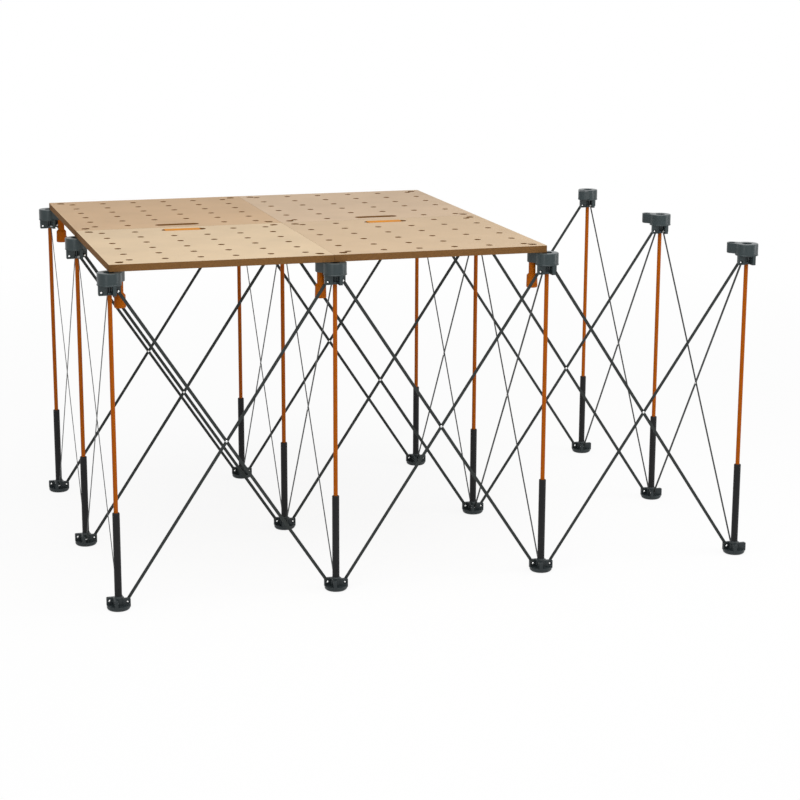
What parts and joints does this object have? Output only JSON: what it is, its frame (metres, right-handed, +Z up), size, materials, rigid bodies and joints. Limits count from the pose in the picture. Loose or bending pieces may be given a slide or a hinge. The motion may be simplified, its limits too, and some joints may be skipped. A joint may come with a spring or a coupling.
{
  "type": "folding workbench",
  "caption": "Folding work stand: telescoping legs on a scissor frame that folds both ways, with a perforated top laid on the heads and locked by pegs.",
  "frame": {"origin": "on the floor, under the middle of the leg grid", "axes": "+X along the long side, from the covered end to the open end; +Y from front to back; +Z up"},
  "size_m": [1.8948, 1.2852, 0.9443],
  "materials": {
    "upper_leg": "moulded satin",
    "lower_leg": "moulded satin",
    "link_steel": "satin powder coat",
    "mdf": "raw fibreboard",
    "strut_orange": "satin powder coat",
    "peg_orange": "moulded satin",
    "rivet_steel": "zinc plated"
  },
  "bodies": {
    "leg_a1_upper": {"leg_a1_upper": "upper_leg"},
    "leg_a1_lower": {"leg_a1_lower": "lower_leg"},
    "leg_a2_upper": {"leg_a2_upper": "upper_leg"},
    "leg_a2_lower": {"leg_a2_lower": "lower_leg"},
    "leg_a3_upper": {"leg_a3_upper": "upper_leg"},
    "leg_a3_lower": {"leg_a3_lower": "lower_leg"},
    "leg_b1_upper": {"leg_b1_upper": "upper_leg"},
    "leg_b1_lower": {"leg_b1_lower": "lower_leg"},
    "leg_b2_upper": {"leg_b2_upper": "upper_leg"},
    "leg_b2_lower": {"leg_b2_lower": "lower_leg"},
    "leg_b3_upper": {"leg_b3_upper": "upper_leg"},
    "leg_b3_lower": {"leg_b3_lower": "lower_leg"},
    "leg_c1_upper": {"leg_c1_upper": "upper_leg"},
    "leg_c1_lower": {"leg_c1_lower": "lower_leg"},
    "leg_c2_upper": {"leg_c2_upper": "upper_leg"},
    "leg_c2_lower": {"leg_c2_lower": "lower_leg"},
    "leg_c3_upper": {"leg_c3_upper": "upper_leg"},
    "leg_c3_lower": {"leg_c3_lower": "lower_leg"},
    "leg_d1_upper": {"leg_d1_upper": "upper_leg"},
    "leg_d1_lower": {"leg_d1_lower": "lower_leg"},
    "leg_d2_upper": {"leg_d2_upper": "upper_leg"},
    "leg_d2_lower": {"leg_d2_lower": "lower_leg"},
    "leg_d3_upper": {"leg_d3_upper": "upper_leg"},
    "leg_d3_lower": {"leg_d3_lower": "lower_leg"},
    "link_foot_a1_head_b1": {"link_foot_a1_head_b1": "link_steel"},
    "link_foot_b1_head_a1": {"link_foot_b1_head_a1": "link_steel"},
    "link_foot_a1_head_a2": {"link_foot_a1_head_a2": "link_steel"},
    "link_foot_a2_head_a1": {"link_foot_a2_head_a1": "link_steel"},
    "link_foot_a2_head_b2": {"link_foot_a2_head_b2": "link_steel"},
    "link_foot_b2_head_a2": {"link_foot_b2_head_a2": "link_steel"},
    "link_foot_a2_head_a3": {"link_foot_a2_head_a3": "link_steel"},
    "link_foot_a3_head_a2": {"link_foot_a3_head_a2": "link_steel"},
    "link_foot_a3_head_b3": {"link_foot_a3_head_b3": "link_steel"},
    "link_foot_b3_head_a3": {"link_foot_b3_head_a3": "link_steel"},
    "link_foot_b1_head_c1": {"link_foot_b1_head_c1": "link_steel"},
    "link_foot_c1_head_b1": {"link_foot_c1_head_b1": "link_steel"},
    "link_foot_b1_head_b2": {"link_foot_b1_head_b2": "link_steel"},
    "link_foot_b2_head_b1": {"link_foot_b2_head_b1": "link_steel"},
    "link_foot_b2_head_c2": {"link_foot_b2_head_c2": "link_steel"},
    "link_foot_c2_head_b2": {"link_foot_c2_head_b2": "link_steel"},
    "link_foot_b2_head_b3": {"link_foot_b2_head_b3": "link_steel"},
    "link_foot_b3_head_b2": {"link_foot_b3_head_b2": "link_steel"},
    "link_foot_b3_head_c3": {"link_foot_b3_head_c3": "link_steel"},
    "link_foot_c3_head_b3": {"link_foot_c3_head_b3": "link_steel"},
    "link_foot_c1_head_d1": {"link_foot_c1_head_d1": "link_steel"},
    "link_foot_d1_head_c1": {"link_foot_d1_head_c1": "link_steel"},
    "link_foot_c1_head_c2": {"link_foot_c1_head_c2": "link_steel"},
    "link_foot_c2_head_c1": {"link_foot_c2_head_c1": "link_steel"},
    "link_foot_c2_head_d2": {"link_foot_c2_head_d2": "link_steel"},
    "link_foot_d2_head_c2": {"link_foot_d2_head_c2": "link_steel"},
    "link_foot_c2_head_c3": {"link_foot_c2_head_c3": "link_steel"},
    "link_foot_c3_head_c2": {"link_foot_c3_head_c2": "link_steel"},
    "link_foot_c3_head_d3": {"link_foot_c3_head_d3": "link_steel"},
    "link_foot_d3_head_c3": {"link_foot_d3_head_c3": "link_steel"},
    "link_foot_d1_head_d2": {"link_foot_d1_head_d2": "link_steel"},
    "link_foot_d2_head_d1": {"link_foot_d2_head_d1": "link_steel"},
    "link_foot_d2_head_d3": {"link_foot_d2_head_d3": "link_steel"},
    "link_foot_d3_head_d2": {"link_foot_d3_head_d2": "link_steel"},
    "top_left": {"top_left": "mdf"},
    "top_right": {"top_right": "mdf"}
  },
  "joints": [
    {"name": "fold", "type": "hinge", "parent": "leg_b2_lower", "child": "link_foot_b2_head_a2", "pos_m": [-0.3278, 0, 0.023], "axis": [0, 1, 0], "range_deg": [0, 30.17]},
    {"name": "leg_a2_upper_pivot", "type": "hinge", "parent": "link_foot_b2_head_a2", "child": "leg_a2_upper", "pos_m": [-0.8914, 0, 0.873], "axis": [0, -1, 0], "range_deg": [0, 30.17]},
    {"name": "link_foot_b2_head_b1_pivot", "type": "hinge", "parent": "leg_b2_lower", "child": "link_foot_b2_head_b1", "pos_m": [-0.3048, -0.023, 0.023], "axis": [-1, 0, 0], "range_deg": [0, 30.17]},
    {"name": "leg_b1_upper_pivot", "type": "hinge", "parent": "link_foot_b2_head_b1", "child": "leg_b1_upper", "pos_m": [-0.3048, -0.5866, 0.873], "axis": [1, 0, 0], "range_deg": [0, 30.17]},
    {"name": "link_foot_b2_head_b3_pivot", "type": "hinge", "parent": "leg_b2_lower", "child": "link_foot_b2_head_b3", "pos_m": [-0.3048, 0.023, 0.023], "axis": [1, 0, 0], "range_deg": [0, 30.17]},
    {"name": "leg_b3_upper_pivot", "type": "hinge", "parent": "link_foot_b2_head_b3", "child": "leg_b3_upper", "pos_m": [-0.3048, 0.5866, 0.873], "axis": [-1, 0, 0], "range_deg": [0, 30.17]},
    {"name": "link_foot_b2_head_c2_pivot", "type": "hinge", "parent": "leg_b2_lower", "child": "link_foot_b2_head_c2", "pos_m": [-0.2818, 0, 0.023], "axis": [0, -1, 0], "range_deg": [0, 30.17]},
    {"name": "leg_c2_upper_pivot", "type": "hinge", "parent": "link_foot_b2_head_c2", "child": "leg_c2_upper", "pos_m": [0.2818, 0, 0.873], "axis": [0, 1, 0], "range_deg": [0, 30.17]},
    {"name": "link_foot_a1_head_a2_pivot", "type": "hinge", "parent": "leg_a2_upper", "child": "link_foot_a1_head_a2", "pos_m": [-0.9144, -0.023, 0.873], "axis": [1, 0, 0], "range_deg": [0, 30.17]},
    {"name": "leg_a1_lower_pivot", "type": "hinge", "parent": "link_foot_a1_head_a2", "child": "leg_a1_lower", "pos_m": [-0.9144, -0.5866, 0.023], "axis": [-1, 0, 0], "range_deg": [0, 30.17]},
    {"name": "link_foot_a3_head_a2_pivot", "type": "hinge", "parent": "leg_a2_upper", "child": "link_foot_a3_head_a2", "pos_m": [-0.9144, 0.023, 0.873], "axis": [-1, 0, 0], "range_deg": [0, 30.17]},
    {"name": "leg_a3_lower_pivot", "type": "hinge", "parent": "link_foot_a3_head_a2", "child": "leg_a3_lower", "pos_m": [-0.9144, 0.5866, 0.023], "axis": [1, 0, 0], "range_deg": [0, 30.17]},
    {"name": "link_foot_a1_head_b1_pivot", "type": "hinge", "parent": "leg_b1_upper", "child": "link_foot_a1_head_b1", "pos_m": [-0.3278, -0.6096, 0.873], "axis": [0, -1, 0], "range_deg": [0, 30.17]},
    {"name": "link_foot_c1_head_b1_pivot", "type": "hinge", "parent": "leg_b1_upper", "child": "link_foot_c1_head_b1", "pos_m": [-0.2818, -0.6096, 0.873], "axis": [0, 1, 0], "range_deg": [0, 30.17]},
    {"name": "leg_c1_lower_pivot", "type": "hinge", "parent": "link_foot_c1_head_b1", "child": "leg_c1_lower", "pos_m": [0.2818, -0.6096, 0.023], "axis": [0, -1, 0], "range_deg": [0, 30.17]},
    {"name": "link_foot_a3_head_b3_pivot", "type": "hinge", "parent": "leg_b3_upper", "child": "link_foot_a3_head_b3", "pos_m": [-0.3278, 0.6096, 0.873], "axis": [0, -1, 0], "range_deg": [0, 30.17]},
    {"name": "link_foot_c3_head_b3_pivot", "type": "hinge", "parent": "leg_b3_upper", "child": "link_foot_c3_head_b3", "pos_m": [-0.2818, 0.6096, 0.873], "axis": [0, 1, 0], "range_deg": [0, 30.17]},
    {"name": "leg_c3_lower_pivot", "type": "hinge", "parent": "link_foot_c3_head_b3", "child": "leg_c3_lower", "pos_m": [0.2818, 0.6096, 0.023], "axis": [0, -1, 0], "range_deg": [0, 30.17]},
    {"name": "link_foot_c1_head_c2_pivot", "type": "hinge", "parent": "leg_c2_upper", "child": "link_foot_c1_head_c2", "pos_m": [0.3048, -0.023, 0.873], "axis": [1, 0, 0], "range_deg": [0, 30.17]},
    {"name": "link_foot_c3_head_c2_pivot", "type": "hinge", "parent": "leg_c2_upper", "child": "link_foot_c3_head_c2", "pos_m": [0.3048, 0.023, 0.873], "axis": [-1, 0, 0], "range_deg": [0, 30.17]},
    {"name": "link_foot_d2_head_c2_pivot", "type": "hinge", "parent": "leg_c2_upper", "child": "link_foot_d2_head_c2", "pos_m": [0.3278, 0, 0.873], "axis": [0, 1, 0], "range_deg": [0, 30.17]},
    {"name": "leg_d2_lower_pivot", "type": "hinge", "parent": "link_foot_d2_head_c2", "child": "leg_d2_lower", "pos_m": [0.8914, 0, 0.023], "axis": [0, -1, 0], "range_deg": [0, 30.17]},
    {"name": "link_foot_c1_head_d1_pivot", "type": "hinge", "parent": "leg_c1_lower", "child": "link_foot_c1_head_d1", "pos_m": [0.3278, -0.6096, 0.023], "axis": [0, -1, 0], "range_deg": [0, 30.17]},
    {"name": "leg_d1_upper_pivot", "type": "hinge", "parent": "link_foot_c1_head_d1", "child": "leg_d1_upper", "pos_m": [0.8914, -0.6096, 0.873], "axis": [0, 1, 0], "range_deg": [0, 30.17]},
    {"name": "link_foot_c3_head_d3_pivot", "type": "hinge", "parent": "leg_c3_lower", "child": "link_foot_c3_head_d3", "pos_m": [0.3278, 0.6096, 0.023], "axis": [0, -1, 0], "range_deg": [0, 30.17]},
    {"name": "leg_d3_upper_pivot", "type": "hinge", "parent": "link_foot_c3_head_d3", "child": "leg_d3_upper", "pos_m": [0.8914, 0.6096, 0.873], "axis": [0, 1, 0], "range_deg": [0, 30.17]},
    {"name": "link_foot_d2_head_d1_pivot", "type": "hinge", "parent": "leg_d2_lower", "child": "link_foot_d2_head_d1", "pos_m": [0.9144, -0.023, 0.023], "axis": [-1, 0, 0], "range_deg": [0, 30.17]},
    {"name": "link_foot_d2_head_d3_pivot", "type": "hinge", "parent": "leg_d2_lower", "child": "link_foot_d2_head_d3", "pos_m": [0.9144, 0.023, 0.023], "axis": [1, 0, 0], "range_deg": [0, 30.17]},
    {"name": "link_foot_b1_head_a1_cross", "type": "hinge", "parent": "link_foot_a1_head_b1", "child": "link_foot_b1_head_a1", "pos_m": [-0.6096, -0.6096, 0.448], "axis": [0, 1, 0], "range_deg": [0, 60.35]},
    {"name": "link_foot_a2_head_a1_cross", "type": "hinge", "parent": "link_foot_a1_head_a2", "child": "link_foot_a2_head_a1", "pos_m": [-0.9144, -0.3048, 0.448], "axis": [-1, 0, 0], "range_deg": [0, 60.35]},
    {"name": "link_foot_a2_head_b2_cross", "type": "hinge", "parent": "link_foot_b2_head_a2", "child": "link_foot_a2_head_b2", "pos_m": [-0.6096, 0, 0.448], "axis": [0, -1, 0], "range_deg": [0, 60.35]},
    {"name": "link_foot_a2_head_a3_cross", "type": "hinge", "parent": "link_foot_a3_head_a2", "child": "link_foot_a2_head_a3", "pos_m": [-0.9144, 0.3048, 0.448], "axis": [1, 0, 0], "range_deg": [0, 60.35]},
    {"name": "link_foot_b3_head_a3_cross", "type": "hinge", "parent": "link_foot_a3_head_b3", "child": "link_foot_b3_head_a3", "pos_m": [-0.6096, 0.6096, 0.448], "axis": [0, 1, 0], "range_deg": [0, 60.35]},
    {"name": "link_foot_b1_head_c1_cross", "type": "hinge", "parent": "link_foot_c1_head_b1", "child": "link_foot_b1_head_c1", "pos_m": [0, -0.6096, 0.448], "axis": [0, -1, 0], "range_deg": [0, 60.35]},
    {"name": "link_foot_b1_head_b2_cross", "type": "hinge", "parent": "link_foot_b2_head_b1", "child": "link_foot_b1_head_b2", "pos_m": [-0.3048, -0.3048, 0.448], "axis": [1, 0, 0], "range_deg": [0, 60.35]},
    {"name": "link_foot_c2_head_b2_cross", "type": "hinge", "parent": "link_foot_b2_head_c2", "child": "link_foot_c2_head_b2", "pos_m": [0, 0, 0.448], "axis": [0, 1, 0], "range_deg": [0, 60.35]},
    {"name": "link_foot_b3_head_b2_cross", "type": "hinge", "parent": "link_foot_b2_head_b3", "child": "link_foot_b3_head_b2", "pos_m": [-0.3048, 0.3048, 0.448], "axis": [-1, 0, 0], "range_deg": [0, 60.35]},
    {"name": "link_foot_b3_head_c3_cross", "type": "hinge", "parent": "link_foot_c3_head_b3", "child": "link_foot_b3_head_c3", "pos_m": [0, 0.6096, 0.448], "axis": [0, -1, 0], "range_deg": [0, 60.35]},
    {"name": "link_foot_d1_head_c1_cross", "type": "hinge", "parent": "link_foot_c1_head_d1", "child": "link_foot_d1_head_c1", "pos_m": [0.6096, -0.6096, 0.448], "axis": [0, 1, 0], "range_deg": [0, 60.35]},
    {"name": "link_foot_c2_head_c1_cross", "type": "hinge", "parent": "link_foot_c1_head_c2", "child": "link_foot_c2_head_c1", "pos_m": [0.3048, -0.3048, 0.448], "axis": [-1, 0, 0], "range_deg": [0, 60.35]},
    {"name": "link_foot_c2_head_d2_cross", "type": "hinge", "parent": "link_foot_d2_head_c2", "child": "link_foot_c2_head_d2", "pos_m": [0.6096, 0, 0.448], "axis": [0, -1, 0], "range_deg": [0, 60.35]},
    {"name": "link_foot_c2_head_c3_cross", "type": "hinge", "parent": "link_foot_c3_head_c2", "child": "link_foot_c2_head_c3", "pos_m": [0.3048, 0.3048, 0.448], "axis": [1, 0, 0], "range_deg": [0, 60.35]},
    {"name": "link_foot_d3_head_c3_cross", "type": "hinge", "parent": "link_foot_c3_head_d3", "child": "link_foot_d3_head_c3", "pos_m": [0.6096, 0.6096, 0.448], "axis": [0, 1, 0], "range_deg": [0, 60.35]},
    {"name": "link_foot_d1_head_d2_cross", "type": "hinge", "parent": "link_foot_d2_head_d1", "child": "link_foot_d1_head_d2", "pos_m": [0.9144, -0.3048, 0.448], "axis": [1, 0, 0], "range_deg": [0, 60.35]},
    {"name": "link_foot_d3_head_d2_cross", "type": "hinge", "parent": "link_foot_d2_head_d3", "child": "link_foot_d3_head_d2", "pos_m": [0.9144, 0.3048, 0.448], "axis": [-1, 0, 0], "range_deg": [0, 60.35]},
    {"name": "leg_a1_upper_pivot", "type": "hinge", "parent": "link_foot_a2_head_a1", "child": "leg_a1_upper", "pos_m": [-0.9144, -0.5866, 0.873], "axis": [1, 0, 0], "range_deg": [0, 30.17]},
    {"name": "leg_a2_lower_pivot", "type": "hinge", "parent": "link_foot_a2_head_b2", "child": "leg_a2_lower", "pos_m": [-0.8914, 0, 0.023], "axis": [0, 1, 0], "range_deg": [0, 30.17]},
    {"name": "leg_a3_upper_pivot", "type": "hinge", "parent": "link_foot_a2_head_a3", "child": "leg_a3_upper", "pos_m": [-0.9144, 0.5866, 0.873], "axis": [-1, 0, 0], "range_deg": [0, 30.17]},
    {"name": "leg_b1_lower_pivot", "type": "hinge", "parent": "link_foot_b1_head_b2", "child": "leg_b1_lower", "pos_m": [-0.3048, -0.5866, 0.023], "axis": [-1, 0, 0], "range_deg": [0, 30.17]},
    {"name": "leg_b2_upper_pivot", "type": "hinge", "parent": "link_foot_a2_head_b2", "child": "leg_b2_upper", "pos_m": [-0.3278, 0, 0.873], "axis": [0, 1, 0], "range_deg": [0, 30.17]},
    {"name": "leg_b3_lower_pivot", "type": "hinge", "parent": "link_foot_b3_head_b2", "child": "leg_b3_lower", "pos_m": [-0.3048, 0.5866, 0.023], "axis": [1, 0, 0], "range_deg": [0, 30.17]},
    {"name": "leg_c1_upper_pivot", "type": "hinge", "parent": "link_foot_b1_head_c1", "child": "leg_c1_upper", "pos_m": [0.2818, -0.6096, 0.873], "axis": [0, 1, 0], "range_deg": [0, 30.17]},
    {"name": "leg_c2_lower_pivot", "type": "hinge", "parent": "link_foot_c2_head_b2", "child": "leg_c2_lower", "pos_m": [0.2818, 0, 0.023], "axis": [0, -1, 0], "range_deg": [0, 30.17]},
    {"name": "leg_c3_upper_pivot", "type": "hinge", "parent": "link_foot_b3_head_c3", "child": "leg_c3_upper", "pos_m": [0.2818, 0.6096, 0.873], "axis": [0, 1, 0], "range_deg": [0, 30.17]},
    {"name": "leg_d1_lower_pivot", "type": "hinge", "parent": "link_foot_d1_head_c1", "child": "leg_d1_lower", "pos_m": [0.8914, -0.6096, 0.023], "axis": [0, -1, 0], "range_deg": [0, 30.17]},
    {"name": "leg_d2_upper_pivot", "type": "hinge", "parent": "link_foot_c2_head_d2", "child": "leg_d2_upper", "pos_m": [0.8914, 0, 0.873], "axis": [0, 1, 0], "range_deg": [0, 30.17]},
    {"name": "leg_d3_lower_pivot", "type": "hinge", "parent": "link_foot_d3_head_c3", "child": "leg_d3_lower", "pos_m": [0.8914, 0.6096, 0.023], "axis": [0, -1, 0], "range_deg": [0, 30.17]},
    {"name": "top_left_lift", "type": "slide", "parent": "leg_b2_upper", "child": "top_left", "axis": [0, 0, 1], "range_m": [0, 0.3]},
    {"name": "top_right_lift", "type": "slide", "parent": "leg_b2_upper", "child": "top_right", "axis": [0, 0, 1], "range_m": [0, 0.3]}
  ],
  "couplings": [
    {"joint": "leg_a2_upper_pivot", "follows": "fold", "ratio": 1},
    {"joint": "link_foot_b2_head_b1_pivot", "follows": "fold", "ratio": 1},
    {"joint": "leg_b1_upper_pivot", "follows": "fold", "ratio": 1},
    {"joint": "link_foot_b2_head_b3_pivot", "follows": "fold", "ratio": 1},
    {"joint": "leg_b3_upper_pivot", "follows": "fold", "ratio": 1},
    {"joint": "link_foot_b2_head_c2_pivot", "follows": "fold", "ratio": 1},
    {"joint": "leg_c2_upper_pivot", "follows": "fold", "ratio": 1},
    {"joint": "link_foot_a1_head_a2_pivot", "follows": "fold", "ratio": 1},
    {"joint": "leg_a1_lower_pivot", "follows": "fold", "ratio": 1},
    {"joint": "link_foot_a3_head_a2_pivot", "follows": "fold", "ratio": 1},
    {"joint": "leg_a3_lower_pivot", "follows": "fold", "ratio": 1},
    {"joint": "link_foot_a1_head_b1_pivot", "follows": "fold", "ratio": 1},
    {"joint": "link_foot_c1_head_b1_pivot", "follows": "fold", "ratio": 1},
    {"joint": "leg_c1_lower_pivot", "follows": "fold", "ratio": 1},
    {"joint": "link_foot_a3_head_b3_pivot", "follows": "fold", "ratio": 1},
    {"joint": "link_foot_c3_head_b3_pivot", "follows": "fold", "ratio": 1},
    {"joint": "leg_c3_lower_pivot", "follows": "fold", "ratio": 1},
    {"joint": "link_foot_c1_head_c2_pivot", "follows": "fold", "ratio": 1},
    {"joint": "link_foot_c3_head_c2_pivot", "follows": "fold", "ratio": 1},
    {"joint": "link_foot_d2_head_c2_pivot", "follows": "fold", "ratio": 1},
    {"joint": "leg_d2_lower_pivot", "follows": "fold", "ratio": 1},
    {"joint": "link_foot_c1_head_d1_pivot", "follows": "fold", "ratio": 1},
    {"joint": "leg_d1_upper_pivot", "follows": "fold", "ratio": 1},
    {"joint": "link_foot_c3_head_d3_pivot", "follows": "fold", "ratio": 1},
    {"joint": "leg_d3_upper_pivot", "follows": "fold", "ratio": 1},
    {"joint": "link_foot_d2_head_d1_pivot", "follows": "fold", "ratio": 1},
    {"joint": "link_foot_d2_head_d3_pivot", "follows": "fold", "ratio": 1},
    {"joint": "link_foot_b1_head_a1_cross", "follows": "fold", "ratio": 2},
    {"joint": "link_foot_a2_head_a1_cross", "follows": "fold", "ratio": 2},
    {"joint": "link_foot_a2_head_b2_cross", "follows": "fold", "ratio": 2},
    {"joint": "link_foot_a2_head_a3_cross", "follows": "fold", "ratio": 2},
    {"joint": "link_foot_b3_head_a3_cross", "follows": "fold", "ratio": 2},
    {"joint": "link_foot_b1_head_c1_cross", "follows": "fold", "ratio": 2},
    {"joint": "link_foot_b1_head_b2_cross", "follows": "fold", "ratio": 2},
    {"joint": "link_foot_c2_head_b2_cross", "follows": "fold", "ratio": 2},
    {"joint": "link_foot_b3_head_b2_cross", "follows": "fold", "ratio": 2},
    {"joint": "link_foot_b3_head_c3_cross", "follows": "fold", "ratio": 2},
    {"joint": "link_foot_d1_head_c1_cross", "follows": "fold", "ratio": 2},
    {"joint": "link_foot_c2_head_c1_cross", "follows": "fold", "ratio": 2},
    {"joint": "link_foot_c2_head_d2_cross", "follows": "fold", "ratio": 2},
    {"joint": "link_foot_c2_head_c3_cross", "follows": "fold", "ratio": 2},
    {"joint": "link_foot_d3_head_c3_cross", "follows": "fold", "ratio": 2},
    {"joint": "link_foot_d1_head_d2_cross", "follows": "fold", "ratio": 2},
    {"joint": "link_foot_d3_head_d2_cross", "follows": "fold", "ratio": 2},
    {"joint": "leg_a1_upper_pivot", "follows": "fold", "ratio": 1},
    {"joint": "leg_a2_lower_pivot", "follows": "fold", "ratio": 1},
    {"joint": "leg_a3_upper_pivot", "follows": "fold", "ratio": 1},
    {"joint": "leg_b1_lower_pivot", "follows": "fold", "ratio": 1},
    {"joint": "leg_b2_upper_pivot", "follows": "fold", "ratio": 1},
    {"joint": "leg_b3_lower_pivot", "follows": "fold", "ratio": 1},
    {"joint": "leg_c1_upper_pivot", "follows": "fold", "ratio": 1},
    {"joint": "leg_c2_lower_pivot", "follows": "fold", "ratio": 1},
    {"joint": "leg_c3_upper_pivot", "follows": "fold", "ratio": 1},
    {"joint": "leg_d1_lower_pivot", "follows": "fold", "ratio": 1},
    {"joint": "leg_d2_upper_pivot", "follows": "fold", "ratio": 1},
    {"joint": "leg_d3_lower_pivot", "follows": "fold", "ratio": 1}
  ]
}
